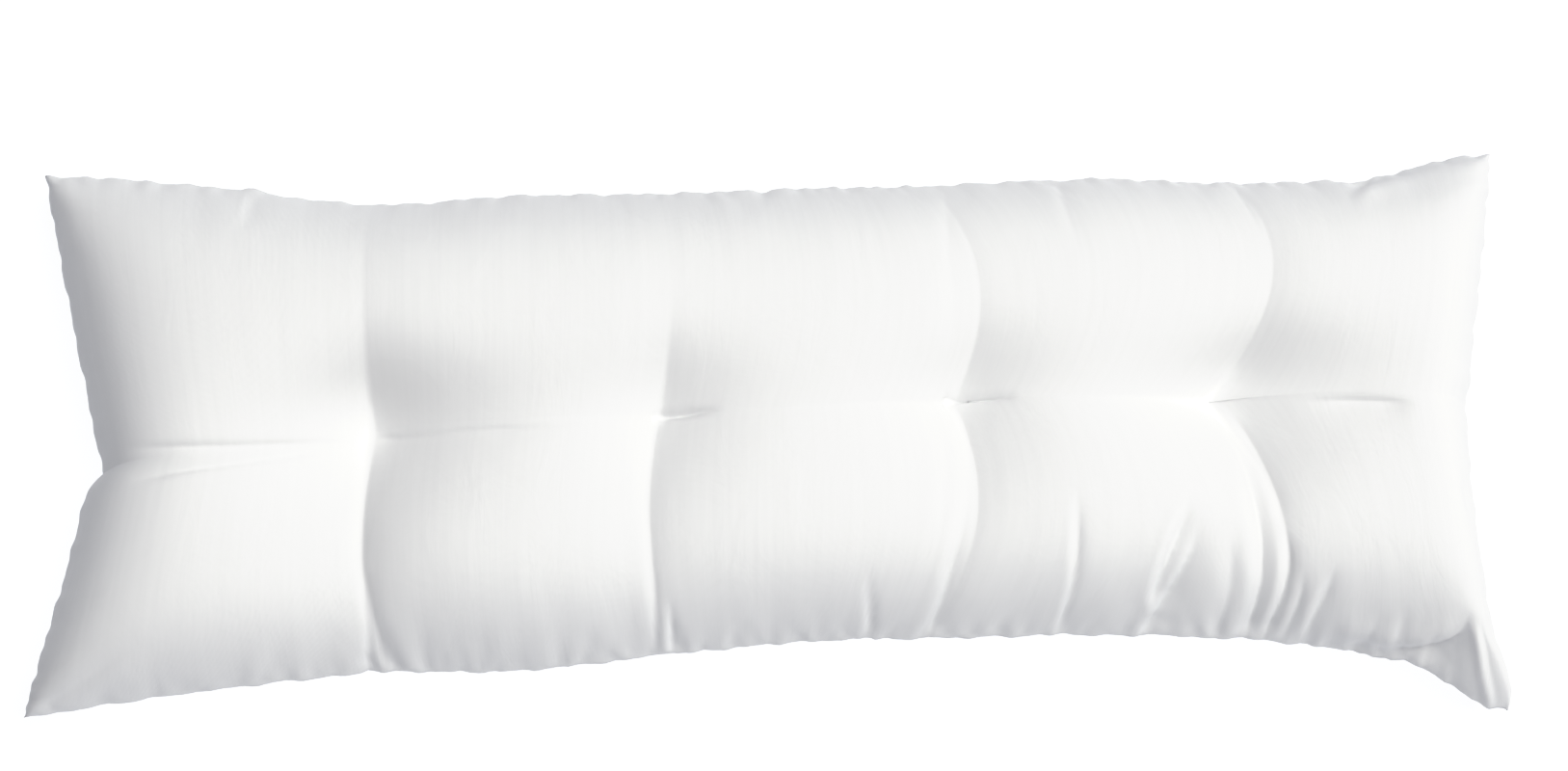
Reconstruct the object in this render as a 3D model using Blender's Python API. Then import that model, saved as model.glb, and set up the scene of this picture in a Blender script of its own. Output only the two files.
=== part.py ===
"""A body pillow: two rectangular panels of white cotton sewn together all round, filled with fibre, and
tacked through at four points along the middle, lying on its back.

Metres, +Z up. +X runs along the pillow, +Y across it. The origin is on the surface that the pillow lies on,
under the middle of its box.

The pillow is one filled solid. Both of its faces are grids over the flat cloth: u runs from 0 to 1 along
the cut length, and v from -1, the near seam, through 0, the line of tacks, to 1, the far seam.
"""

import math

import bpy
import numpy as np

# Cloth and filling
CUT_LENGTH = 1.372  # 54 in
CUT_WIDTH = 0.508  # 20 in
COLUMNS_OF_PUFFS = 5
SEAM_HEIGHT = 0.080  # the end seams, above the surface that the pillow lies on
SIDE_DROOPS = (0.016, 0.008)  # how far the near and the far side seam hang below that
CORNER_DROOP = 0.024  # how far the four corners hang below the side seams
DROOP_ALONG = 8  # the droops' powers along and across: the higher, the nearer they keep to the corners
DROOP_ACROSS = 3
CROWN_RISE = 0.104  # a full puff, above the seams
PUFF_FULLNESS = (1.03, 1.04, 1.0, 0.95, 0.97)  # each puff's share of that, from -X to +X
FULLNESS_STEP = 0.20  # how wide the step between two puffs is, in puffs
BACK_DROP = 0.104  # the same on the back, before it is flattened by lying on it
SIDE_POWERS = (4.5, 4.1)  # higher is boxier: across the pillow, on its near and its far side
END_POWERS = (16.0, 38.0)  # and along it, at its -X and its +X end
CORNER_BLEND = 1.4  # how tightly the two domes meet over a corner
SIDE_STEEPNESS = math.radians(48)  # how far the cloth has turned down at a side seam, seen from above

# The tacks, from -X to +X. Each pulls down a valley across the pillow, whose depth is given for its near and
# its far half, and a dimple, which reaches so far along the pillow to its -X and its +X side. Depths are
# shares of the rise.
TACK_COLUMNS = ("near_valley", "far_valley", "dimple", "left_reach", "right_reach")
TACKS = (
    (0.34, 0.05, 0.60, 0.080, 0.095),
    (0.17, 0.02, 0.33, 0.054, 0.064),
    (0.15, 0.09, 0.39, 0.066, 0.080),
    (0.10, 0.09, 0.66, 0.078, 0.115),
)
COLUMN_VALLEY_REACH = (0.125, 0.042)  # on its -X and its +X side
MIDDLE_VALLEY_DEPTH = 0.015  # the shallow valley along the line of tacks
MIDDLE_VALLEY_REACH = 0.020
DIMPLE_REACH_ACROSS = (0.086, 0.058)  # on its near and its far side
DIMPLE_POWERS = (1.1, 2.0)  # along and across the pillow: 1 is a pointed dimple, 2 a round one

# Grid
QUADS_PER_PUFF = (10, 10, 16, 34, 24)  # along each column of puffs, from the left
QUADS_ACROSS_HALF = 14
CREASE_CROWDING = 0.45  # how much closer the grid's lines are beside creases and seams

# Where the grid's lines lie, at even steps along the cut length: the near seam, the line of tacks and the far
# seam as x and y, and how far the line between them bows towards +X in the near and the far half.
STATION_COLUMNS = ("near_x", "near_y", "tack_x", "tack_y", "far_x", "far_y", "near_bow", "far_bow")
STATIONS = (
    (-0.670, -0.251, -0.598, -0.035, -0.664, 0.247, -0.020, -0.015),
    (-0.506, -0.229, -0.485, -0.026, -0.517, 0.233, -0.010, -0.006),
    (-0.350, -0.213, -0.355, -0.003, -0.363, 0.215, -0.007, 0.001),
    (-0.225, -0.211, -0.227, 0.000, -0.232, 0.223, -0.005, 0.004),
    (-0.092, -0.197, -0.098, 0.008, -0.099, 0.225, -0.009, 0.014),
    (0.030, -0.185, 0.034, 0.013, 0.034, 0.230, 0.006, 0.018),
    (0.146, -0.182, 0.162, 0.021, 0.141, 0.232, 0.026, 0.031),
    (0.292, -0.179, 0.280, 0.023, 0.290, 0.239, 0.030, 0.036),
    (0.451, -0.185, 0.391, 0.026, 0.418, 0.235, 0.042, 0.054),
    (0.566, -0.203, 0.520, 0.027, 0.540, 0.241, 0.014, 0.022),
    (0.661, -0.241, 0.629, 0.022, 0.663, 0.267, 0.002, 0.008),
)
BOW_SKEW = 0.85  # under 1, it brings the middle of each bow nearer the tacks

# Where the end seams jut out of the smooth outline: beside the waist of the -X end and at the near corner of
# the +X end. Reaches are in v, and the fade is in u.
WAIST_JUT = 0.0080
WAIST_JUT_REACH = 0.09
EAR_JUT = 0.0100
EAR_JUT_AT = -0.90
EAR_JUT_REACH = 0.13
JUT_FADE = 0.05

# Where the near seam dips outwards beside the same corner. Its place and reach are in u, and the fade in v.
EAR_DIP = 0.0085
EAR_DIP_AT = 0.972
EAR_DIP_REACH = 0.030
EAR_DIP_FADE = 0.12

# The folds of the upper face, where the cloth is bunched at the near seam and at the near corner on the +X
# side: where each fold's crest starts and ends, how far its middle bows, its half width and its height. Its
# trough lies beside it. Bow and trough are to the left of someone who walks the crest from its start.
FOLD_COLUMNS = ("start_x", "start_y", "end_x", "end_y", "bow", "half_width", "height")
FOLDS = (
    (0.167, 0.002, 0.142, -0.183, 0.013, 0.010, 0.008),
    (0.280, -0.028, 0.261, -0.183, 0.008, 0.010, 0.009),
    (0.381, -0.046, 0.336, -0.183, 0.004, 0.011, 0.012),
    (0.402, -0.053, 0.388, -0.186, 0.012, 0.010, 0.009),
    (0.414, 0.008, 0.424, -0.186, 0.024, 0.011, 0.012),
    (0.430, 0.004, 0.452, -0.188, 0.028, 0.011, 0.012),
    (0.477, -0.106, 0.470, -0.190, 0.010, 0.009, 0.008),
    (0.514, -0.124, 0.487, -0.192, 0.000, 0.010, 0.009),
    (0.664, -0.150, 0.500, -0.168, 0.012, 0.016, 0.015),
)
TROUGH_OFFSET = 1.6  # from the crest, in half widths
TROUGH_DEPTH = 0.9  # as a share of the fold's height
FADE_IN = 0.45  # the share of its length over which a fold rises
THIN_EDGE = 0.25  # how full the pillow is where the folds start to fade towards the seams


def remove_all_objects():
    for obj in list(bpy.data.objects):
        bpy.data.objects.remove(obj)


def column(table, names, name):
    """One named column of a table, as an array."""
    return np.array([row[names.index(name)] for row in table])


def smooth(values, position):
    """The values of evenly spaced stations, read at positions from 0 to 1 along a Catmull-Rom curve."""
    padded = np.concatenate(
        ([2 * values[0] - values[1]], values, [2 * values[-1] - values[-2]])
    )
    along = np.asarray(position) * (len(values) - 1)
    first = np.clip(np.floor(along).astype(int), 0, len(values) - 2)
    t = along - first
    before, start, end, after = (padded[first + k] for k in range(4))
    return start + 0.5 * t * (
        end - before
        + t * (2 * before - 5 * start + 4 * end - after + t * (3 * (start - end) + after - before))
    )


def crowded(count):
    """count + 1 positions from 0 to 1 that lie closer together towards both ends."""
    even = np.linspace(0, 1, count + 1)
    rounded = (1 - np.cos(math.pi * even)) / 2
    return even + CREASE_CROWDING * (rounded - even)


def grid_lines():
    """The u of each line across the pillow and the v of each line along it."""
    u = [np.array([0.0])]
    for puff, quads in enumerate(QUADS_PER_PUFF):
        u.append((puff + crowded(quads)[1:]) / COLUMNS_OF_PUFFS)
    half = crowded(QUADS_ACROSS_HALF)
    v = np.concatenate((half - 1, half[1:]))
    return np.concatenate(u), v


def juts(u, v):
    """How far the juts and the dip of the seams move each point along and across the pillow."""
    below_waist = np.maximum(-v, 0) / WAIST_JUT_REACH
    waist = -WAIST_JUT * below_waist * np.exp(1 - below_waist) * np.exp(-((u / JUT_FADE) ** 2))
    ear = EAR_JUT * np.exp(-(((v - EAR_JUT_AT) / EAR_JUT_REACH) ** 2)) * np.exp(-(((1 - u) / JUT_FADE) ** 2))
    dip = np.exp(-(((u - EAR_DIP_AT) / EAR_DIP_REACH) ** 2)) * np.exp(-(((1 + v) / EAR_DIP_FADE) ** 2))
    return waist + ear, -EAR_DIP * dip


def plan(u, v):
    """The x and y of the cloth seen from above, with its drawn-in sides and bowed lines."""
    at = {name: smooth(column(STATIONS, STATION_COLUMNS, name), u) for name in STATION_COLUMNS}
    across = np.sin(SIDE_STEEPNESS * v) / math.sin(SIDE_STEEPNESS)
    near, middle, far = across * (across - 1) / 2, 1 - across**2, across * (across + 1) / 2
    x = near * at["near_x"] + middle * at["tack_x"] + far * at["far_x"]
    y = near * at["near_y"] + middle * at["tack_y"] + far * at["far_y"]
    bow = np.where(v < 0, at["near_bow"], at["far_bow"])
    jut_x, jut_y = juts(u, v)
    return x + bow * np.sin(math.pi * np.abs(v) ** BOW_SKEW) + jut_x, y + jut_y


def dome(u, v):
    """How full the pillow is at each point: 0 on the seams and 1 over the middle."""
    side = 1 - np.abs(v) ** np.where(v < 0, *SIDE_POWERS)
    end = 1 - np.abs(2 * u - 1) ** np.where(u < 0.5, *END_POWERS)
    both = side * end
    bound = side**CORNER_BLEND + end**CORNER_BLEND - both**CORNER_BLEND
    return both / np.maximum(bound, 1e-12) ** (1 / CORNER_BLEND)


def ease(t):
    """0 up to 0, 1 from 1 on, and a smooth step between."""
    t = np.clip(t, 0, 1)
    return t * t * (3 - 2 * t)


def puff_fullness(u):
    """The puffs' own shares of the rise, with a smooth step from each to the next."""
    phase = u * COLUMNS_OF_PUFFS
    fullness = np.full_like(u, PUFF_FULLNESS[0])
    for k, (before, after) in enumerate(zip(PUFF_FULLNESS, PUFF_FULLNESS[1:])):
        fullness += (after - before) * ease((phase - k - 1) / FULLNESS_STEP / 2 + 0.5)
    return fullness


def valleys(u, v):
    """What the tacks leave of the rise: 1 on a full puff, least at a tack."""
    across = np.abs(v) * CUT_WIDTH / 2
    dimple_across = np.where(v < 0, *DIMPLE_REACH_ACROSS)
    remains = 1 - MIDDLE_VALLEY_DEPTH * np.exp(-across / MIDDLE_VALLEY_REACH)
    for k, row in enumerate(TACKS):
        tack = dict(zip(TACK_COLUMNS, row))
        along = (u - (k + 1) / COLUMNS_OF_PUFFS) * CUT_LENGTH
        depth = tack["near_valley"] + (tack["far_valley"] - tack["near_valley"]) * ease(v + 0.5)
        column_reach = np.where(along < 0, *COLUMN_VALLEY_REACH)
        dimple_along = np.where(along < 0, tack["left_reach"], tack["right_reach"])
        remains *= 1 - depth * np.exp(-np.abs(along) / column_reach)
        away_along = (np.abs(along) / dimple_along) ** DIMPLE_POWERS[0]
        away_across = (across / dimple_across) ** DIMPLE_POWERS[1]
        remains *= 1 - tack["dimple"] * np.exp(-away_along - away_across)
    return remains


def fold_height(x, y, fold):
    """How much one fold adds to a face."""
    run_x = fold["end_x"] - fold["start_x"]
    run_y = fold["end_y"] - fold["start_y"]
    length = math.hypot(run_x, run_y)
    ahead_x, ahead_y = run_x / length, run_y / length
    out_x, out_y = x - fold["start_x"], y - fold["start_y"]
    share = (out_x * ahead_x + out_y * ahead_y) / length
    inside = np.clip(share, 0, 1)
    crest = 4 * fold["bow"] * inside * (1 - inside)
    off = (out_y * ahead_x - out_x * ahead_y - crest) / fold["half_width"]
    trough = TROUGH_DEPTH * np.exp(-((off - TROUGH_OFFSET) ** 2))
    fade = np.clip(share / FADE_IN, 0, 1) ** 2
    return fold["height"] * fade * (np.exp(-(off**2)) - trough)


def folds(x, y, fullness):
    """How much the folds add to the upper face. They fade out where the pillow is thin."""
    height = sum(fold_height(x, y, dict(zip(FOLD_COLUMNS, row))) for row in FOLDS)
    return height * np.clip(fullness / THIN_EDGE, 0, 1)


def seam_level(u, v):
    """The height of the seam beside each point."""
    corners = CORNER_DROOP * np.abs(2 * u - 1) ** DROOP_ALONG
    return SEAM_HEIGHT - (corners + np.where(v < 0, *SIDE_DROOPS)) * np.abs(v) ** DROOP_ACROSS


def pillow_faces():
    """The points of the upper face and of the back, as two grids of x, y and z."""
    lines_u, lines_v = grid_lines()
    u, v = np.meshgrid(lines_u, lines_v, indexing="ij")
    x, y = plan(u, v)
    fullness = dome(u, v)
    level = seam_level(u, v)
    rise = fullness * puff_fullness(u) * valleys(u, v)
    top = level + CROWN_RISE * rise + folds(x, y, fullness)
    back = np.maximum(level - BACK_DROP * rise, 0)
    x = x - (x.max() + x.min()) / 2
    y = y - (y.max() + y.min()) / 2
    return np.stack((x, y, top), axis=-1), np.stack((x, y, back), axis=-1)


def triangles(rows, columns):
    """The triangles of a grid's cells. Each cell's diagonal runs outwards, so none cuts off a corner."""
    for i in range(rows - 1):
        for j in range(columns - 1):
            a, b, c, d = (i, j), (i + 1, j), (i + 1, j + 1), (i, j + 1)
            if (2 * i < rows - 1) == (2 * j < columns - 1):
                yield a, b, c
                yield a, c, d
            else:
                yield a, b, d
                yield b, c, d


def closed_mesh(name, top, back):
    """One closed mesh from the two faces, which share the points of the seam all round."""
    rows, columns = top.shape[:2]
    inner = back[1:-1, 1:-1]
    index_top = np.arange(rows * columns).reshape(rows, columns)
    index_back = index_top.copy()
    index_back[1:-1, 1:-1] = rows * columns + np.arange(inner[..., 0].size).reshape(inner.shape[:2])
    points = np.concatenate((top.reshape(-1, 3), inner.reshape(-1, 3)))
    faces = []
    for triangle in triangles(rows, columns):
        faces.append([int(index_top[corner]) for corner in triangle])
        faces.append([int(index_back[corner]) for corner in reversed(triangle)])
    mesh = bpy.data.meshes.new(name)
    mesh.from_pydata(points.tolist(), [], faces)
    mesh.validate()
    mesh.shade_smooth()
    return mesh


def white_cotton():
    material = bpy.data.materials.new("white_cotton")
    material.use_nodes = True
    shader = material.node_tree.nodes["Principled BSDF"]
    shader.inputs["Base Color"].default_value = (0.82, 0.82, 0.825, 1)
    shader.inputs["Roughness"].default_value = 0.85
    shader.inputs["Metallic"].default_value = 0.0
    return material


def main():
    remove_all_objects()
    top, back = pillow_faces()
    pillow = bpy.data.objects.new("pillow", closed_mesh("pillow", top, back))
    pillow.data.materials.append(white_cotton())
    bpy.context.scene.collection.objects.link(pillow)


main()
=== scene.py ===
"""The looks of a white cotton body pillow that lies on a pale floor, seen from above its near side.

Metres unless a comment says otherwise, +Z up. +X runs along the pillow and +Y across it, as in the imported
frame. Pixels are those of the photograph, x to the right and y down.

The pillow is one closed shell. Each of its two faces is a grid over the flat cloth: u runs from 0 to 1 along
the cut length, and v from -1, the near seam, through 0, the line of tacks, to 1, the far seam.
"""

import math

import bpy
import numpy as np
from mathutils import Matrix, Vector


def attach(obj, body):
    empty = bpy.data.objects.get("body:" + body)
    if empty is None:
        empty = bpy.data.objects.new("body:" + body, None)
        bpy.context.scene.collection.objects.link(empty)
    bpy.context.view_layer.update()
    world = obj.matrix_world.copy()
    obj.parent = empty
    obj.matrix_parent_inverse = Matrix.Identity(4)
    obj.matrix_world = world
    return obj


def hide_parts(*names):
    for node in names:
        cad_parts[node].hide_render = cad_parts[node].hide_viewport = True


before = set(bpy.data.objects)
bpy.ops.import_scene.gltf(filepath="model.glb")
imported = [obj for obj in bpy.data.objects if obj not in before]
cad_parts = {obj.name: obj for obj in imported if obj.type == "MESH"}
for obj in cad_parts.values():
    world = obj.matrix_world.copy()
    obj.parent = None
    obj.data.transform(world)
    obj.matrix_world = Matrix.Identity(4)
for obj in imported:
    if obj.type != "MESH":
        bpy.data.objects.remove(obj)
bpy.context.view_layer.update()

MM_PER_M = 1000

# The photograph's view
PHOTO_WIDTH = 1627
PHOTO_HEIGHT = 800
PIXEL = 0.00087  # across one pixel, at the pillow's seams
ELEVATION = math.radians(80)
DISTANCE = 4.0  # from the camera to what it is aimed at
AIM = Vector((0.0155, 0.038, 0.080))  # what the frame's middle shows
SENSOR_MM = 36.0

# Cloth and filling
CUT_LENGTH = 1.372
CUT_WIDTH = 0.508
COLUMNS_OF_PUFFS = 5
SEAM_HEIGHT = 0.080  # the end seams, above the surface that the pillow lies on
SIDE_DROOPS = (0.016, 0.008)  # how far the near and the far side seam hang below that
CORNER_DROOP = 0.024  # how far the four corners hang below the side seams
DROOP_ALONG = 8  # the droops' powers along and across: the higher, the nearer they keep to the corners
DROOP_ACROSS = 3
CROWN_RISE = 0.104  # a full puff, above the seams
PUFF_FULLNESS = (1.03, 1.04, 1.0, 0.95, 0.97)  # each puff's share of that, from the left
FULLNESS_STEP = 0.20  # how far the step between two puffs reaches to each side, in puffs
BACK_DROP = 0.104  # the rise's counterpart on the back, before it is flattened by lying on it
SIDE_POWERS = (4.5, 4.1)  # higher is boxier: across the pillow, on its near and its far side
END_POWERS = (16.0, 38.0)  # and along it, at its left and its right end
CORNER_BLEND = 1.4  # how tightly the two domes meet over a corner
NEARLY_NONE = 1e-12  # keeps the blend from dividing by 0 on the seams
SIDE_STEEPNESS = math.radians(48)  # how far the cloth has turned down at a side seam, seen from above

# The tacks, from the left. Each pulls down a valley across the pillow, whose depth is given for its near and
# its far half, and a dimple, which reaches so far along the pillow to its left and its right. Depths are
# shares of the rise.
TACK_COLUMNS = ("near_valley", "far_valley", "dimple", "left_reach", "right_reach")
TACKS = (
    (0.34, 0.05, 0.60, 0.080, 0.095),
    (0.17, 0.02, 0.33, 0.054, 0.064),
    (0.15, 0.09, 0.39, 0.066, 0.080),
    (0.10, 0.09, 0.66, 0.078, 0.115),
)
COLUMN_VALLEY_REACH = (0.125, 0.042)  # to the left and to the right
MIDDLE_VALLEY_DEPTH = 0.015  # the shallow valley along the line of tacks
MIDDLE_VALLEY_REACH = 0.020
DIMPLE_REACH_ACROSS = (0.086, 0.058)  # on its near and its far side
DIMPLE_POWERS = (1.1, 2.0)  # along and across the pillow: 1 is a pointed dimple, 2 a round one

# The small pit that the thread pulls into the upper face at each tack, in millimetres. Tacks are counted
# from the left.
PINCH_COLUMNS = ("tack", "depth", "left_reach", "right_reach", "across")
PINCHES = (
    (1, 5.0, 45, 65, 42),
    (2, 2.0, 45, 55, 26),
    (3, 2.5, 45, 75, 24),
    (4, 4.5, 70, 60, 36),
)

# Grid of the upper face: quads along each column of puffs, and across half the width. The back has every
# second line of it.
UPPER_QUADS = ((64, 64, 78, 122, 92), 84)
CREASE_CROWDING = 0.45  # how much closer the grid's lines are beside creases and seams

# Where the grid's lines lie, at even steps along the cut length: the near seam, the line of tacks and the far
# seam as x and y, and how far the line between them bows to the right in the near and the far half.
STATION_COLUMNS = ("near_x", "near_y", "tack_x", "tack_y", "far_x", "far_y", "near_bow", "far_bow")
STATIONS = (
    (-0.670, -0.251, -0.598, -0.035, -0.664, 0.247, -0.020, -0.015),
    (-0.506, -0.229, -0.485, -0.026, -0.517, 0.233, -0.010, -0.006),
    (-0.350, -0.213, -0.355, -0.003, -0.363, 0.215, -0.007, 0.001),
    (-0.225, -0.211, -0.227, 0.000, -0.232, 0.223, -0.005, 0.004),
    (-0.092, -0.197, -0.098, 0.008, -0.099, 0.225, -0.009, 0.014),
    (0.030, -0.185, 0.034, 0.013, 0.034, 0.230, 0.006, 0.018),
    (0.146, -0.182, 0.162, 0.021, 0.141, 0.232, 0.026, 0.031),
    (0.292, -0.179, 0.280, 0.023, 0.290, 0.239, 0.030, 0.036),
    (0.451, -0.185, 0.391, 0.026, 0.418, 0.235, 0.042, 0.054),
    (0.566, -0.203, 0.520, 0.027, 0.540, 0.241, 0.014, 0.022),
    (0.661, -0.241, 0.629, 0.022, 0.663, 0.267, 0.002, 0.008),
)
BOW_SKEW = 0.85  # under 1, it brings the middle of each bow nearer the tacks

# Where the end seams jut out of the smooth outline: beside the waist of the left end and at the near corner
# of the right end. Reaches are in v, and the fade is in u.
WAIST_JUT = 0.0080
WAIST_JUT_REACH = 0.09
EAR_JUT = 0.0100
EAR_JUT_AT = -0.90
EAR_JUT_REACH = 0.13
JUT_FADE = 0.05

# Where the near seam dips outwards beside the same corner. Its place and reach are in u, and the fade in v.
EAR_DIP = 0.0085
EAR_DIP_AT = 0.972
EAR_DIP_REACH = 0.030
EAR_DIP_FADE = 0.12

# Folds of the upper face, as seen in the photograph. Each is a crease along a path of pixels. On the path's
# first side is a soft crest, from which the cloth falls into the crease, and on the other it rises again. On
# a path that runs down the picture the first side is on the left, and on one to the left it is above.
# Millimetres: the crest's half width and height, how far the cloth takes to fall, the crease's depth, and
# how far the cloth takes to rise. fade_in and fade_out are the shares of the path over which the fold grows
# and dies away. The paths of folds that reach a seam end beyond it.
FOLD_COLUMNS = ("crest", "height", "fall", "depth", "rise", "fade_in", "fade_out", "path")
FOLDS = (
    # Below the first tack, with two notches in the near seam
    (9, 0.6, 6, 1.8, 8, 0.3, 0.3, ((383, 462), (379, 500), (375, 535), (371, 575), (371, 605))),
    (9, 0.8, 5, 2.8, 7, 0.4, 0.1, ((372, 570), (380, 610), (386, 640), (393, 665), (403, 705))),
    (7, 1.4, 5, 4.6, 7, 0.6, 0.0, ((380, 645), (382, 672), (385, 712))),
    # Below the second
    (8, 0.6, 6, 1.6, 8, 0.3, 0.2, ((668, 440), (668, 480), (669, 520), (674, 555), (678, 600))),
    (8, 0.8, 5, 2.8, 5, 0.4, 0.0, ((674, 560), (679, 605), (680, 640), (681, 695))),
    (5, 1.4, 4, 5.0, 5, 0.6, 0.0, ((694, 615), (697, 645), (699, 695))),
    # Below the third, and the last of these above it
    (8, 0.6, 7, 1.6, 8, 0.2, 0.3, ((990, 420), (1002, 450), (1005, 490), (1002, 535), (994, 575))),
    (7, 1.2, 6, 6.0, 7, 0.5, 0.0, ((1001, 510), (997, 555), (988, 592), (979, 625), (957, 680))),
    (7, 0.4, 7, 1.0, 7, 0.3, 0.3, ((979, 440), (982, 480), (981, 520), (974, 565))),
    (5, 1.0, 4, 5.2, 5, 0.6, 0.0, ((899, 580), (902, 615), (903, 640), (904, 685))),
    (8, 0.2, 7, 1.2, 12, 0.3, 0.3, ((978, 180), (982, 220), (985, 265), (988, 315), (984, 372))),
    # Between the third and the fourth, in the near half
    (5, 0.8, 4, 4.6, 5, 0.4, 0.0, ((1118, 500), (1118, 560), (1115, 600), (1107, 632), (1090, 680))),
    (6, 1.6, 5, 8.0, 11, 0.4, 0.2, ((1238, 510), (1226, 545), (1213, 578), (1202, 610), (1194, 640))),
    (6, 1.6, 5, 9.0, 15, 0.6, 0.0, ((1247, 530), (1239, 568), (1224, 603), (1206, 633), (1174, 674))),
    (10, 0.8, 9, 3.6, 8, 0.5, 0.0, ((1276, 540), (1279, 590), (1273, 630), (1253, 680))),
    # Below the fourth, where the cloth is most bunched
    (8, 1.0, 7, 9.0, 10, 0.45, 0.0,
     ((1260, 427), (1281, 458), (1297, 492), (1306, 530), (1310, 570), (1307, 620), (1288, 680))),
    (5, 1.0, 4, 2.4, 8, 0.2, 0.3, ((1272, 428), (1296, 458), (1315, 492), (1326, 522), (1333, 560))),
    (6, 1.4, 5, 7.0, 6, 0.4, 0.0, ((1332, 535), (1337, 578), (1334, 610), (1325, 638), (1303, 682))),
    (6, 0.8, 5, 3.8, 5, 0.4, 0.0, ((1353, 585), (1351, 615), (1342, 642), (1322, 684))),
    (6, 1.2, 5, 5.6, 8, 0.4, 0.0, ((1388, 583), (1378, 612), (1366, 638), (1343, 684))),
    (6, 0.8, 5, 2.4, 7, 0.5, 0.0, ((1436, 630), (1424, 656), (1408, 692))),
    (6, 0.8, 5, 2.2, 7, 0.5, 0.0, ((1464, 630), (1452, 656), (1436, 694))),
    (6, 0.8, 5, 2.0, 7, 0.5, 0.0, ((1494, 640), (1488, 662), (1474, 700))),
    # The right end's near corner: the ear that stands out past the filled cloth
    (12, 4.0, 8, 16.0, 13, 0.3, 0.4,
     ((1527, 630), (1520, 655), (1506, 672), (1480, 682), (1440, 681), (1400, 673), (1350, 666))),
    (10, 2.0, 6, 0.0, 3, 0.3, 0.3, ((1480, 691), (1440, 689), (1400, 684), (1365, 677), (1325, 672))),
    (5, 4.0, 3, 2.0, 8, 0.3, 0.0, ((1534, 636), (1541, 670), (1546, 700), (1556, 750))),
    # Its far corner, where the edge is turned up, and short folds in from the far seam
    (8, 4.0, 7, 8.0, 25, 0.15, 0.10, ((1394, 193), (1425, 182), (1460, 172), (1500, 162), (1545, 154))),
    (5, 1.6, 4, 2.8, 6, 0.0, 0.6, ((272, 188), (262, 205), (256, 225), (250, 245))),
    (6, 0.8, 5, 1.6, 6, 0.0, 0.6, ((796, 184), (792, 205), (788, 225))),
    (6, 0.2, 6, 1.2, 7, 0.0, 0.6, ((1094, 172), (1102, 205), (1113, 240), (1116, 275))),
    (7, 0.2, 6, 1.4, 9, 0.0, 0.6, ((1270, 176), (1285, 200), (1300, 225), (1308, 250))),
    # The near corner of the left end
    (6, 0.5, 5, 1.4, 6, 0.2, 0.5, ((40, 738), (75, 716), (112, 690), (140, 660))),
    # A tuck in the right end seam
    (4, 0.6, 3, 4.0, 4, 0.4, 0.3, ((1519, 492), (1522, 510), (1528, 540))),
    # Along the line of tacks, from the left
    (5, 0.0, 3, 3.6, 10, 0.3, 0.2, ((376, 459), (330, 459), (250, 462), (180, 463), (122, 466))),
    (5, 0.4, 8, 3.6, 3, 0.3, 0.2, ((366, 465), (300, 473), (235, 482), (180, 490), (122, 503))),
    (6, 0.0, 3, 3.0, 10, 0.4, 0.10, ((600, 443), (490, 446), (450, 450), (415, 453), (382, 453))),
    (6, 0.0, 3, 8.0, 3, 0.6, 0.10, ((752, 425), (735, 426), (714, 429), (697, 431), (676, 433))),
    (6, 0.0, 4, 6.0, 4, 0.5, 0.10, ((1060, 411), (1040, 413), (1015, 415), (995, 416), (977, 417))),
    (6, 0.0, 3, 5.0, 14, 0.3, 0.50, ((1474, 421), (1455, 417), (1420, 415), (1390, 415), (1340, 416))),
)
CREASE_SHARPNESS = 1.1  # 1 is a sharp crease, 2 a round one
CREST_OFFSET = 0.6  # from where the fall begins to the crest, in half widths of the crest
SEAM_SHARE = 0.35  # how much of a fold is left at a seam
SEAM_FADE = 0.015  # how far from the seam it is whole
FOLD_MARGIN = 40  # pixels around a path, beyond which its fold is left out
STEPS_PER_PATH_POINT = 6  # of the smooth line through a path's points
SHORTEST_FADE = 0.001  # stands in for a fade of 0

# Gathers along the seams of each face: their mean spacing along the seam, greatest height, usual half width
# and usual reach into the face
GATHER_COLUMNS = ("seam", "spacing", "height", "half_width", "reach")
GATHERS = (
    ("near", 0.017, 0.0020, 0.0055, 0.024),
    ("far", 0.021, 0.0016, 0.0060, 0.020),
    ("left", 0.021, 0.0013, 0.0060, 0.018),
    ("right", 0.018, 0.0014, 0.0060, 0.020),
)
GATHER_START = 0.006  # how far from the seam a gather is at its full height
UPPER_GATHER_SEED = 6
BACK_GATHER_SEED = 7

# What each gather draws at random: how far it is moved, in spacings, its slant, as metres along the seam for
# each metre into the face, and the factors of its height, its reach and its half width
PLACE_RANGE = (-0.4, 0.4)
SLANT_RANGE = (-0.4, 0.4)
HEIGHT_RANGE = (0.25, 1)
REACH_RANGE = (0.5, 1.8)
WIDTH_RANGE = (0.7, 1.4)

# The ear's cloth is taut, so its gathers are fainter beyond a place in u and v. They fade before that.
EAR_GATHERS = 0.25  # the share that is left of them
EAR_START = 0.93  # in u
EAR_START_FADE = 0.03
EAR_SIDE = -0.5  # in v
EAR_SIDE_FADE = 0.2

# The seam's small unevenness
OUTWARD = {"near": (0, -1, 0), "far": (0, 1, 0), "left": (-1, 0, 0), "right": (1, 0, 0)}
WAVER_SEED = 5
SEAM_WAVER = 0.0011  # how far the seam strays from a smooth line
SEAM_WAVES = ((0.052, 0.5), (0.031, 0.6), (0.017, 0.3))  # its wavelengths, and each one's share
WAVE_SHIFT = 0.3  # how far a wave is moved to and fro along the seam, in wavelengths
WAVE_SHIFT_LENGTH = 0.11  # the length of seam for each radian of that
WAVER_FADE = 0.012  # how far into the face the waver reaches

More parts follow.
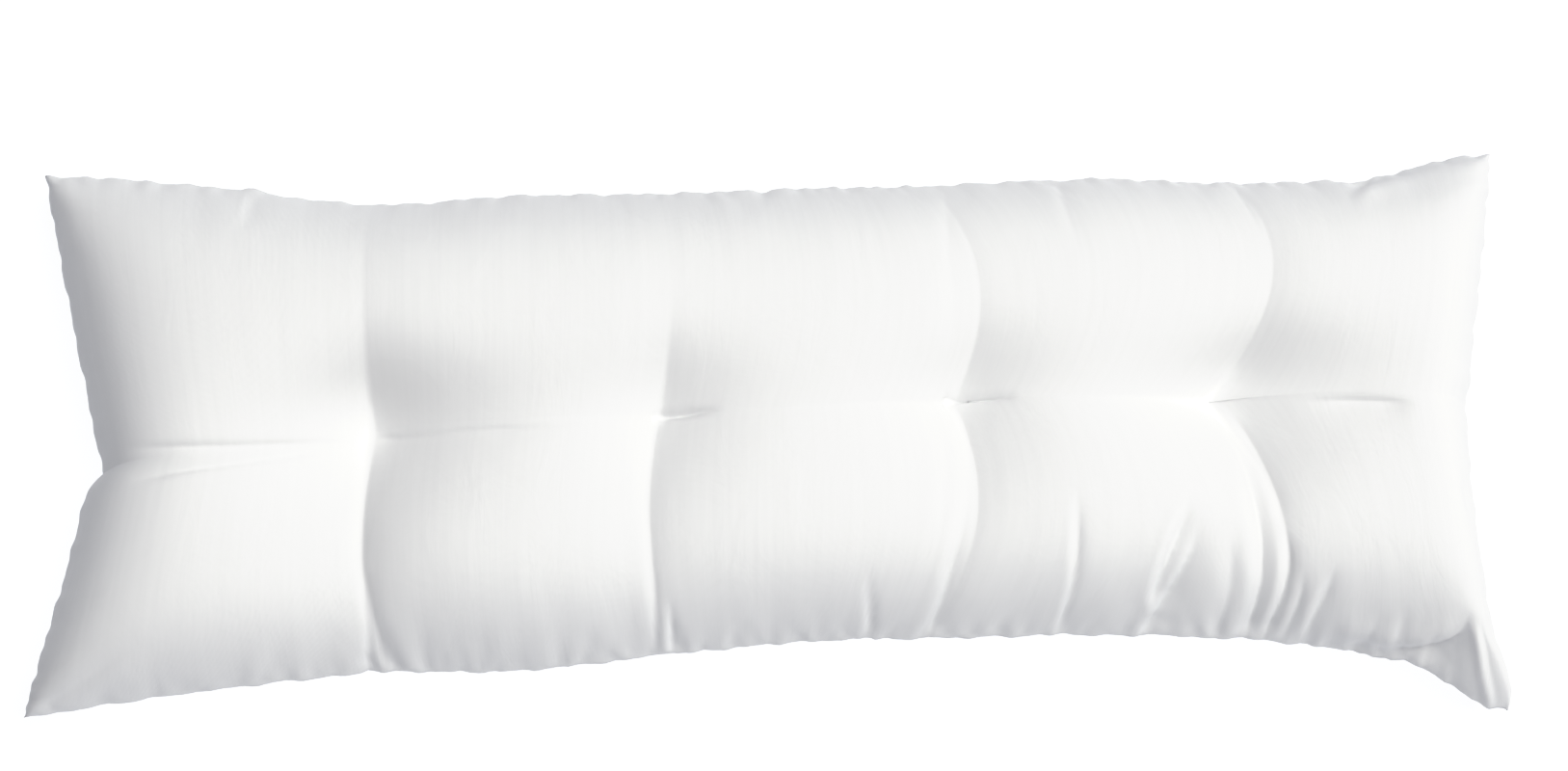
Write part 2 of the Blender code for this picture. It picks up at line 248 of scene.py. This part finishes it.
# Where a seam juts out or, below zero, is drawn in, and where it hangs down: how far along its cut edge, its
# reach to each side, and how far it goes out and down
BUMP_COLUMNS = ("seam", "at", "reach", "out", "down")
SEAM_BUMPS = (
    ("far", 0.060, 0.012, 0.0015, 0),
    ("far", 0.178, 0.010, 0.0030, 0),
    ("far", 0.640, 0.008, -0.0015, 0),
    ("far", 0.930, 0.010, -0.0015, 0),
    ("far", 1.222, 0.012, -0.0035, 0),
    ("far", 1.285, 0.030, 0.0050, 0.022),
    ("far", 1.330, 0.034, 0.0080, 0.022),
    ("near", 0.268, 0.008, -0.0030, 0),
    ("near", 0.546, 0.007, -0.0025, 0),
    ("near", 0.755, 0.006, -0.0025, 0),
    ("near", 0.938, 0.007, -0.0015, 0),
    ("near", 1.150, 0.070, -0.0010, 0.010),
    ("near", 1.205, 0.016, 0.0028, 0),
    ("near", 1.244, 0.010, -0.0020, 0),
    ("right", 0.145, 0.010, -0.0020, 0),
)
BUMP_FADE = 0.014  # how far into the face a bump reaches

# The cotton. Its pattern lies on the flat cloth, as a UV map in metres: counts are along and across it, and
# bumps are heights in metres.
CLOTH_MAP = "cut_cloth"
SLUBS_PER_METRE = (130.0, 3.5)
SLUB_NOISE = {"Detail": 3.0, "Roughness": 0.7}
SLUB_BUMP = 0.00008
CREASES_PER_METRE = (22.0, 14.0)
CREASE_NOISE = {"Detail": 4.0, "Roughness": 0.55, "Distortion": 0.6}
CREASE_BUMP = 0.0006
THREAD_PITCH = 0.0009
THREAD_SCALE = math.pi / 10 / THREAD_PITCH  # the wave texture's own scale for that pitch
THREAD_BUMP = 0.00005
COTTON_DARKEST = (0.802, 0.804, 0.803, 1)
COTTON_LIGHTEST = (0.842, 0.844, 0.843, 1)
COTTON_LOOKS = {"Roughness": 0.9, "Sheen Weight": 0.1, "Sheen Roughness": 0.5}

# The floor glows, so that it shows as pure white
FLOOR_SIZE = 12.0
FLOOR_GAP = 0.0005  # keeps it clear of the pillow's flat back
FLOOR_LOOKS = {
    "Base Color": (0.2, 0.2, 0.2, 1),
    "Emission Color": (0.968, 0.986, 1.022, 1),
    "Emission Strength": 1.02,
    "Roughness": 0.9,
}

# One large softbox, high up and to the right, and a faint cool light from all round
SOFTBOX_PLACE = Vector((3.65, 0.6, 9.30))
SOFTBOX_AIM = Vector((0.0, 0.0, 0.1))
SOFTBOX_SIDE = 6.0
SOFTBOX_WATTS = 1215
SOFTBOX_COLOR = (1.0, 0.997, 0.982)
WORLD_LOOKS = {"Color": (0.97, 0.985, 1.0, 1), "Strength": 0.07}

# The tone curve: scene-linear values before and after it
WHITE_LEVEL = 1.13  # what comes out as full white
SHOULDER = (
    (0.3, 0.288),
    (0.6, 0.582),
    (0.775, 0.757),
    (0.84, 0.842),
    (0.9, 0.91),
    (0.95, 0.94),
    (1.0, 0.96),
    (1.06, 0.98),
)

# The highlights' warmth: blue's values after the tone curve, and after a curve of its own
WARMTH = ((0.80, 0.80), (0.86, 0.852), (0.92, 0.892), (0.965, 0.932))
BLUE_CURVE, ALL_CURVE = 2, 3  # the places of the blue curve and of the one for all channels


def ease(t):
    """A smooth step from 0 to 1."""
    t = np.clip(t, 0, 1)
    return t * t * (3 - 2 * t)


def smooth(values, position):
    """The values of evenly spaced stations, read at positions from 0 to 1 along a Catmull-Rom curve."""
    values = np.asarray(values, float)
    padded = np.concatenate(([2 * values[0] - values[1]], values, [2 * values[-1] - values[-2]]))
    along = np.asarray(position) * (len(values) - 1)
    first = np.clip(np.floor(along).astype(int), 0, len(values) - 2)
    t = along - first
    if values.ndim > 1:
        t = t[..., None]
    before, start, end, after = (padded[first + k] for k in range(4))
    return start + 0.5 * t * (
        end - before
        + t * (2 * before - 5 * start + 4 * end - after + t * (3 * (start - end) + after - before))
    )


def column(table, names, name):
    """One named column of a table."""
    return [row[names.index(name)] for row in table]


def crowded(count):
    """count + 1 positions from 0 to 1 that lie closer together towards both ends."""
    even = np.linspace(0, 1, count + 1)
    rounded = (1 - np.cos(math.pi * even)) / 2
    return even + CREASE_CROWDING * (rounded - even)


def grid(quads):
    """The u and v of each point of a grid over one face."""
    along_each_puff, across_half = quads
    u = [np.array([0.0])]
    for puff, count in enumerate(along_each_puff):
        u.append((puff + crowded(count)[1:]) / COLUMNS_OF_PUFFS)
    half = crowded(across_half)
    v = np.concatenate((half - 1, half[1:]))
    return np.meshgrid(np.concatenate(u), v, indexing="ij")


def juts(u, v):
    """How far the juts and the dip of the seams move each point along and across the pillow."""
    below_waist = np.maximum(-v, 0) / WAIST_JUT_REACH
    waist = -WAIST_JUT * below_waist * np.exp(1 - below_waist) * np.exp(-((u / JUT_FADE) ** 2))
    beside_ear = np.exp(-(((v - EAR_JUT_AT) / EAR_JUT_REACH) ** 2))
    ear = EAR_JUT * beside_ear * np.exp(-(((1 - u) / JUT_FADE) ** 2))
    dip = np.exp(-(((u - EAR_DIP_AT) / EAR_DIP_REACH) ** 2)) * np.exp(-(((1 + v) / EAR_DIP_FADE) ** 2))
    return waist + ear, -EAR_DIP * dip


def plan(u, v):
    """The x and y of the cloth seen from above, with its drawn-in sides and bowed lines."""
    at = {name: smooth(column(STATIONS, STATION_COLUMNS, name), u) for name in STATION_COLUMNS}
    across = np.sin(SIDE_STEEPNESS * v) / math.sin(SIDE_STEEPNESS)
    near, middle, far = across * (across - 1) / 2, 1 - across**2, across * (across + 1) / 2
    x = near * at["near_x"] + middle * at["tack_x"] + far * at["far_x"]
    y = near * at["near_y"] + middle * at["tack_y"] + far * at["far_y"]
    bow = np.where(v < 0, at["near_bow"], at["far_bow"])
    jut_x, jut_y = juts(u, v)
    return x + bow * np.sin(math.pi * np.abs(v) ** BOW_SKEW) + jut_x, y + jut_y


def dome(u, v):
    """How full the pillow is at each point: 0 on the seams and 1 over the middle."""
    side = 1 - np.abs(v) ** np.where(v < 0, *SIDE_POWERS)
    end = 1 - np.abs(2 * u - 1) ** np.where(u < 0.5, *END_POWERS)
    both = side * end
    bound = side**CORNER_BLEND + end**CORNER_BLEND - both**CORNER_BLEND
    return both / np.maximum(bound, NEARLY_NONE) ** (1 / CORNER_BLEND)


def puff_fullness(u):
    """The puffs' own shares of the rise, with a smooth step from each to the next."""
    phase = u * COLUMNS_OF_PUFFS
    fullness = np.full_like(u, PUFF_FULLNESS[0])
    for k, (before, after) in enumerate(zip(PUFF_FULLNESS, PUFF_FULLNESS[1:])):
        fullness += (after - before) * ease((phase - k - 1) / FULLNESS_STEP / 2 + 0.5)
    return fullness


def valleys(u, v):
    """What the tacks leave of the rise: 1 on a full puff, least at a tack."""
    across = np.abs(v) * CUT_WIDTH / 2
    dimple_across = np.where(v < 0, *DIMPLE_REACH_ACROSS)
    remains = 1 - MIDDLE_VALLEY_DEPTH * np.exp(-across / MIDDLE_VALLEY_REACH)
    for k, row in enumerate(TACKS):
        tack = dict(zip(TACK_COLUMNS, row))
        along = (u - (k + 1) / COLUMNS_OF_PUFFS) * CUT_LENGTH
        depth = tack["near_valley"] + (tack["far_valley"] - tack["near_valley"]) * ease(v + 0.5)
        column_reach = np.where(along < 0, *COLUMN_VALLEY_REACH)
        dimple_along = np.where(along < 0, tack["left_reach"], tack["right_reach"])
        remains *= 1 - depth * np.exp(-np.abs(along) / column_reach)
        away_along = (np.abs(along) / dimple_along) ** DIMPLE_POWERS[0]
        away_across = (across / dimple_across) ** DIMPLE_POWERS[1]
        remains *= 1 - tack["dimple"] * np.exp(-away_along - away_across)
    return remains


def seam_level(u, v):
    """The height of the seam beside each point."""
    corners = CORNER_DROOP * np.abs(2 * u - 1) ** DROOP_ALONG
    return SEAM_HEIGHT - (corners + np.where(v < 0, *SIDE_DROOPS)) * np.abs(v) ** DROOP_ACROSS


def filled_faces(u, v):
    """The smooth upper face and back, as grids of points. They share the seam all round."""
    x, y = plan(u, v)
    rise = dome(u, v) * valleys(u, v) * puff_fullness(u)
    level = seam_level(u, v)
    x = x - (x.max() + x.min()) / 2
    y = y - (y.max() + y.min()) / 2
    upper = np.stack((x, y, level + CROWN_RISE * rise), axis=-1)
    back = np.stack((x, y, np.maximum(level - BACK_DROP * rise, 0)), axis=-1)
    return upper, back


def normals(face):
    """The upward direction at each point of a face."""
    across = np.cross(np.gradient(face, axis=0), np.gradient(face, axis=1))
    return across / np.linalg.norm(across, axis=-1, keepdims=True)


def map_cloth(mesh, flat):
    """A UV map that lays the mesh out on the flat cloth, in metres, from each point's place on it."""
    corners = np.empty(len(mesh.loops), int)
    mesh.loops.foreach_get("vertex_index", corners)
    mesh.uv_layers.new(name=CLOTH_MAP).uv.foreach_set("vector", flat[corners].ravel())


def coarse_faces(index, coarse):
    """The back's faces, from every second line. Those at a seam also take the points between its lines."""
    last_row, last_column = coarse.shape[0] - 2, coarse.shape[1] - 2
    faces = []
    for i in range(last_row + 1):
        for j in range(last_column + 1):
            ring = [coarse[i, j]]
            ring += [index[0, 2 * j + 1]] if i == 0 else []
            ring += [coarse[i, j + 1]]
            ring += [index[2 * i + 1, -1]] if j == last_column else []
            ring += [coarse[i + 1, j + 1]]
            ring += [index[-1, 2 * j + 1]] if i == last_row else []
            ring += [coarse[i + 1, j]]
            ring += [index[2 * i + 1, 0]] if j == 0 else []
            faces.append([int(corner) for corner in ring])
    return faces


def closed_shell(name, upper, back, flat):
    """One mesh of both faces. The back has every second line of the grid, but all of the seam's points."""
    rows, columns = upper.shape[:2]
    index = np.arange(rows * columns).reshape(rows, columns)
    coarse = index[::2, ::2].copy()
    inner = back[2:-2:2, 2:-2:2]
    coarse[1:-1, 1:-1] = index.size + np.arange(inner[..., 0].size).reshape(inner.shape[:2])
    faces = np.stack((index[:-1, :-1], index[1:, :-1], index[1:, 1:], index[:-1, 1:]), axis=-1)
    faces = faces.reshape(-1, 4).tolist() + coarse_faces(index, coarse)
    points = np.concatenate((upper.reshape(-1, 3), inner.reshape(-1, 3)))
    mesh = bpy.data.meshes.new(name)
    mesh.from_pydata(points.tolist(), [], faces)
    map_cloth(mesh, np.concatenate((flat.reshape(-1, 2), flat[2:-2:2, 2:-2:2].reshape(-1, 2))))
    obj = bpy.data.objects.new(name, mesh)
    bpy.context.scene.collection.objects.link(obj)
    return obj


def camera_axes():
    """The camera's right, up and backward directions."""
    right = np.array([1.0, 0.0, 0.0])
    up = np.array([0.0, math.sin(ELEVATION), math.cos(ELEVATION)])
    back = np.array([0.0, -math.cos(ELEVATION), math.sin(ELEVATION)])
    return right, up, back


def photo_pixels(points):
    """Where the camera sees each point, in the photograph's pixels."""
    right, up, back = camera_axes()
    out = points - np.array(AIM)
    nearer = DISTANCE / (DISTANCE - out @ back)
    x = PHOTO_WIDTH / 2 + (out @ right) * nearer / PIXEL
    y = PHOTO_HEIGHT / 2 - (out @ up) * nearer / PIXEL
    return np.stack((x, y), axis=-1)


def beside_path(seen, path):
    """For each seen point, its share along a smooth path and its distance from it, in pixels.

    The distance is below 0 on the path's first side.
    """
    track = smooth(path, np.linspace(0, 1, STEPS_PER_PATH_POINT * len(path)))
    best = np.full(len(seen), np.inf)
    share = np.zeros(len(seen))
    side = np.zeros(len(seen))
    steps = np.diff(track, axis=0)
    lengths = np.linalg.norm(steps, axis=1)
    travelled = np.concatenate(([0], np.cumsum(lengths)))
    for k, step in enumerate(steps):
        out = seen - track[k]
        t = out @ step / lengths[k] ** 2
        held = np.clip(t, 0, 1)
        gap = out - held[:, None] * step
        distance = np.linalg.norm(gap, axis=1)
        closer = distance < best
        best[closer] = distance[closer]
        share[closer] = ((travelled[k] + held * lengths[k]) / travelled[-1])[closer]
        turn = out[:, 1] * step[0] - out[:, 0] * step[1]
        side[closer] = -np.sign(turn)[closer]
    return share, best * side


def fold_profile(fold, off, share):
    """How far a fold lifts or sinks points, in millimetres, from their distance and share along its path."""
    reach = np.where(off < 0, fold["fall"], fold["rise"])
    crease = -fold["depth"] * np.exp(-((np.abs(off) / reach) ** CREASE_SHARPNESS))
    crest = fold["height"] * np.exp(-(((off + fold["fall"]) / fold["crest"] + CREST_OFFSET) ** 2))
    fade_in = ease(share / max(fold["fade_in"], SHORTEST_FADE))
    fade_out = ease((1 - share) / max(fold["fade_out"], SHORTEST_FADE))
    return fade_in * fade_out * (crease + crest)


def pinch_depths(u, v):
    """How deep the pits of the tacks are at each point of the upper face."""
    total = np.zeros_like(u)
    for row in PINCHES:
        pinch = dict(zip(PINCH_COLUMNS, row))
        along = (u - pinch["tack"] / COLUMNS_OF_PUFFS) * CUT_LENGTH * MM_PER_M
        away_along = np.abs(along) / np.where(along < 0, pinch["left_reach"], pinch["right_reach"])
        away_across = np.abs(v) * CUT_WIDTH / 2 * MM_PER_M / pinch["across"]
        total += pinch["depth"] / MM_PER_M * np.exp(-away_along - away_across**2)
    return total


def fold_heights(upper, u, v):
    """How far the folds and the tacks' pits lift or sink each point of the upper face."""
    seen = photo_pixels(upper.reshape(-1, 3))
    total = np.zeros(len(seen))
    for row in FOLDS:
        fold = dict(zip(FOLD_COLUMNS, row))
        path = np.array(fold["path"], float)
        near = np.all((seen > path.min(0) - FOLD_MARGIN) & (seen < path.max(0) + FOLD_MARGIN), axis=1)
        share, off = beside_path(seen[near], path)
        total[near] += fold_profile(fold, off * PIXEL * MM_PER_M, share) / MM_PER_M
    total = total.reshape(u.shape) - pinch_depths(u, v)
    from_seam = np.minimum((1 - np.abs(v)) / 2 * CUT_WIDTH, np.minimum(u, 1 - u) * CUT_LENGTH)
    kept = SEAM_SHARE + (1 - SEAM_SHARE) * ease(from_seam / SEAM_FADE)
    return kept * total


def seam_position(seam, u, v):
    """How far along a seam each point lies, and how far from it on the flat cloth."""
    along, across = u * CUT_LENGTH, (v + 1) / 2 * CUT_WIDTH
    return {
        "near": (along, across),
        "far": (along, CUT_WIDTH - across),
        "left": (across, along),
        "right": (across, CUT_LENGTH - along),
    }[seam]


def gather_heights(u, v, seed):
    """How far the gathers along the seams lift or sink each point of a face."""
    total = np.zeros_like(u)
    random = np.random.default_rng(seed)
    for row in GATHERS:
        kind = dict(zip(GATHER_COLUMNS, row))
        along, out = seam_position(kind["seam"], u, v)
        count = int(along.max() / kind["spacing"])
        for k in range(count):
            place = (k + 0.5 + random.uniform(*PLACE_RANGE)) * kind["spacing"]
            height = kind["height"] * random.uniform(*HEIGHT_RANGE)
            reach = kind["reach"] * random.uniform(*REACH_RANGE)
            slant = random.uniform(*SLANT_RANGE)
            width = kind["half_width"] * random.uniform(*WIDTH_RANGE) * (1 + out / reach)
            off = (along - place - slant * out) / width
            wave = (1 - off**2) * np.exp(-(off**2) / 2)
            total += height * wave * ease(out / GATHER_START) * np.exp(-out / reach)
    on_ear = ease((u - EAR_START) / EAR_START_FADE + 1) * ease((EAR_SIDE - v) / EAR_SIDE_FADE + 1)
    return total * (1 - (1 - EAR_GATHERS) * on_ear)


def waver(u, v):
    """Small offsets in x, y and z that make the seam uneven. They die away inside the faces."""
    random = np.random.default_rng(WAVER_SEED)
    offset = np.zeros(u.shape + (3,))
    for seam, outward in OUTWARD.items():
        along, out = seam_position(seam, u, v)
        for wavelength, share in SEAM_WAVES:
            phase, tilt = random.uniform(0, 2 * math.pi, 2)
            direction = np.array(outward) + np.array((0, 0, math.sin(tilt)))
            shift = WAVE_SHIFT * wavelength * np.sin(along / WAVE_SHIFT_LENGTH + tilt)
            wave = np.sin((along + shift) * 2 * math.pi / wavelength + phase)
            offset += (SEAM_WAVER * share * wave * np.exp(-out / WAVER_FADE))[..., None] * direction
        for row in SEAM_BUMPS:
            bump = dict(zip(BUMP_COLUMNS, row))
            if bump["seam"] == seam:
                size = np.exp(-(((along - bump["at"]) / bump["reach"]) ** 2) - out / BUMP_FADE)
                offset += size[..., None] * (bump["out"] * np.array(outward) - (0, 0, bump["down"]))
    return offset


def set_inputs(node, values):
    """Set a node's sockets, by name."""
    for name, value in values.items():
        node.inputs[name].default_value = value


def add_node(material, kind, **settings):
    """A node of a material, with its properties and, by name, its sockets' values."""
    node = material.node_tree.nodes.new(kind)
    for name, value in settings.items():
        if hasattr(node, name):
            setattr(node, name, value)
        else:
            node.inputs[name].default_value = value
    return node


def add_noise(material, cloth, stretch, **settings):
    """A noise over the flat cloth, so many of its steps to a metre along and across."""
    join = material.node_tree.links.new
    mapping = add_node(material, "ShaderNodeMapping", Scale=(*stretch, 1))
    noise = add_node(material, "ShaderNodeTexNoise", noise_dimensions="2D", Scale=1.0, **settings)
    join(cloth.outputs["UV"], mapping.inputs["Vector"])
    join(mapping.outputs["Vector"], noise.inputs["Vector"])
    return noise.outputs["Fac"]


def add_bump(material, height, distance, below=None):
    """A bump of a height from 0 to 1, on top of the one below it."""
    join = material.node_tree.links.new
    bump = add_node(material, "ShaderNodeBump", Strength=1.0, Distance=distance)
    join(height, bump.inputs["Height"])
    if below:
        join(below, bump.inputs["Normal"])
    return bump.outputs["Normal"]


def cotton():
    """White cotton in a plain weave: some threads are thicker, and the cloth is softly creased all over."""
    material = bpy.data.materials.new("white_cotton")
    material.use_nodes = True
    join = material.node_tree.links.new
    shader = material.node_tree.nodes["Principled BSDF"]
    set_inputs(shader, COTTON_LOOKS)

    cloth = add_node(material, "ShaderNodeUVMap", uv_map=CLOTH_MAP)
    slubs = add_noise(material, cloth, SLUBS_PER_METRE, **SLUB_NOISE)
    tint = add_node(material, "ShaderNodeMix", data_type="RGBA")
    set_inputs(tint, {"A": COTTON_DARKEST, "B": COTTON_LIGHTEST})
    join(slubs, tint.inputs["Factor"])
    join(tint.outputs["Result"], shader.inputs["Base Color"])

    creases = add_noise(material, cloth, CREASES_PER_METRE, **CREASE_NOISE)
    normal = add_bump(material, creases, CREASE_BUMP)
    normal = add_bump(material, slubs, SLUB_BUMP, normal)
    for direction in ("X", "Y"):
        threads = add_node(material, "ShaderNodeTexWave", bands_direction=direction, Scale=THREAD_SCALE)
        join(cloth.outputs["UV"], threads.inputs["Vector"])
        normal = add_bump(material, threads.outputs["Fac"], THREAD_BUMP, normal)
    join(normal, shader.inputs["Normal"])
    return material


def make_floor():
    half = FLOOR_SIZE / 2
    corners = [(-half, -half, 0), (half, -half, 0), (half, half, 0), (-half, half, 0)]
    mesh = bpy.data.meshes.new("floor")
    mesh.from_pydata(corners, [], [(0, 1, 2, 3)])
    material = bpy.data.materials.new("pale_floor")
    material.use_nodes = True
    set_inputs(material.node_tree.nodes["Principled BSDF"], FLOOR_LOOKS)
    mesh.materials.append(material)
    floor = bpy.data.objects.new("floor", mesh)
    floor.location.z = -FLOOR_GAP
    bpy.context.scene.collection.objects.link(floor)


def make_world():
    world = bpy.data.worlds.new("studio")
    bpy.context.scene.world = world
    world.use_nodes = True
    set_inputs(world.node_tree.nodes["Background"], WORLD_LOOKS)


def make_softbox():
    light = bpy.data.lights.new("softbox", "AREA")
    light.shape = "RECTANGLE"
    light.size = SOFTBOX_SIDE
    light.size_y = SOFTBOX_SIDE
    light.energy = SOFTBOX_WATTS
    light.color = SOFTBOX_COLOR
    obj = bpy.data.objects.new("softbox", light)
    obj.location = SOFTBOX_PLACE
    obj.rotation_euler = (SOFTBOX_AIM - SOFTBOX_PLACE).to_track_quat("-Z", "Y").to_euler()
    bpy.context.scene.collection.objects.link(obj)


def make_camera():
    _, _, back = camera_axes()
    camera = bpy.data.cameras.new("camera")
    camera.sensor_width = SENSOR_MM
    camera.lens = SENSOR_MM * DISTANCE / (PHOTO_WIDTH * PIXEL)
    obj = bpy.data.objects.new("camera", camera)
    obj.location = AIM + DISTANCE * Vector(back)
    obj.rotation_euler = Vector(-back).to_track_quat("-Z", "Y").to_euler()
    bpy.context.scene.collection.objects.link(obj)
    bpy.context.scene.camera = obj


def set_tones():
    """Roll off the highlights softly and warm them a little, as a photograph does."""
    view = bpy.context.scene.view_settings
    view.view_transform = "Standard"
    view.use_curve_mapping = True
    mapping = view.curve_mapping
    mapping.white_level = (WHITE_LEVEL, WHITE_LEVEL, WHITE_LEVEL)
    blue = mapping.curves[BLUE_CURVE].points
    all_channels = mapping.curves[ALL_CURVE].points
    for points in (blue, all_channels):
        points[0].location = (0, 0)
        points[-1].location = (1, 1)
    for before, after in SHOULDER:
        all_channels.new(before / WHITE_LEVEL, after)
    for before, after in WARMTH:
        blue.new(before, after)
    mapping.update()


def make_pillow():
    """The dressed pillow: the smooth faces with their gathers, folds and uneven seam."""
    u, v = grid(UPPER_QUADS)
    upper, back = filled_faces(u, v)
    uneven = waver(u, v)
    upper_relief = gather_heights(u, v, UPPER_GATHER_SEED) + fold_heights(upper, u, v)
    back_relief = gather_heights(u, v, BACK_GATHER_SEED)
    upper = upper + uneven + normals(upper) * upper_relief[..., None]
    back = back + uneven - normals(back) * back_relief[..., None]
    back[..., 2] = np.maximum(back[..., 2], 0)
    flat = np.stack((u * CUT_LENGTH, (v + 1) / 2 * CUT_WIDTH), axis=-1)
    pillow = closed_shell("pillow_shell", upper, back, flat)
    pillow.data.shade_smooth()
    pillow.data.materials.append(cotton())
    return pillow


make_camera()
make_floor()
make_world()
make_softbox()
set_tones()

pillow = make_pillow()
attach(pillow, "root")
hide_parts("pillow")
